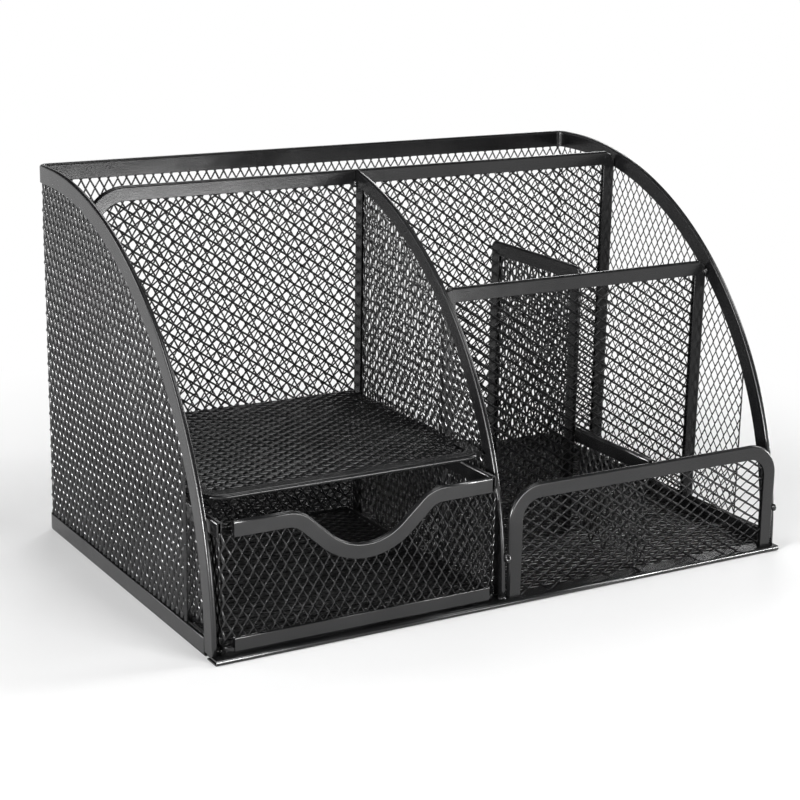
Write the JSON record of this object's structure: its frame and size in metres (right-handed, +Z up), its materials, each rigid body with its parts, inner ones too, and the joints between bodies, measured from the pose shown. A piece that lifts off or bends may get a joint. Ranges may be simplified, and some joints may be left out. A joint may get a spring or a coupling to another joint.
{
  "type": "desk organizer with drawer",
  "caption": "Wire-mesh desk organizer with quarter-round sides, upright compartments, a shelf, a low front panel and a sliding drawer with a finger scoop.",
  "frame": {"origin": "centre of the footprint, on the plane it stands on", "axes": "+X to the right seen from the front, -Y out of the front where the drawer opens, +Z up"},
  "size_m": [0.222, 0.145, 0.1335],
  "materials": {
    "powder_coated_steel": "semi-gloss black powder coat"
  },
  "bodies": {
    "stand": {"left_side_mesh": "powder_coated_steel", "right_side_mesh": "powder_coated_steel", "rear_wall_mesh": "powder_coated_steel", "left_bend_mesh": "powder_coated_steel", "right_bend_mesh": "powder_coated_steel", "base_mesh": "powder_coated_steel", "rear_divider_mesh": "powder_coated_steel", "centre_divider_mesh": "powder_coated_steel", "cross_wall_mesh": "powder_coated_steel", "pen_divider_mesh": "powder_coated_steel", "low_divider_mesh": "powder_coated_steel", "front_panel_mesh": "powder_coated_steel", "shelf_mesh": "powder_coated_steel", "left_side_rim": "powder_coated_steel", "right_side_rim": "powder_coated_steel", "rear_top_rim": "powder_coated_steel", "left_bottom_rim": "powder_coated_steel", "right_bottom_rim": "powder_coated_steel", "rear_bottom_rim": "powder_coated_steel", "base_front_rim": "powder_coated_steel", "rear_divider_rim": "powder_coated_steel", "centre_divider_rim": "powder_coated_steel", "cross_wall_rim": "powder_coated_steel", "pen_divider_rim": "powder_coated_steel", "low_divider_rim": "powder_coated_steel", "front_panel_rim": "powder_coated_steel", "shelf_rim": "powder_coated_steel", "weld_beads": "powder_coated_steel"},
    "drawer": {"drawer_front_mesh": "powder_coated_steel", "drawer_left_mesh": "powder_coated_steel", "drawer_right_mesh": "powder_coated_steel", "drawer_rear_mesh": "powder_coated_steel", "drawer_floor_mesh": "powder_coated_steel", "drawer_handle_rim": "powder_coated_steel", "drawer_foot_rim": "powder_coated_steel", "drawer_left_rim": "powder_coated_steel", "drawer_right_rim": "powder_coated_steel", "drawer_rear_rim": "powder_coated_steel"}
  },
  "joints": [
    {"name": "drawer_slide", "type": "slide", "parent": "stand", "child": "drawer", "axis": [0, -1, 0], "range_m": [0, 0.075]}
  ]
}
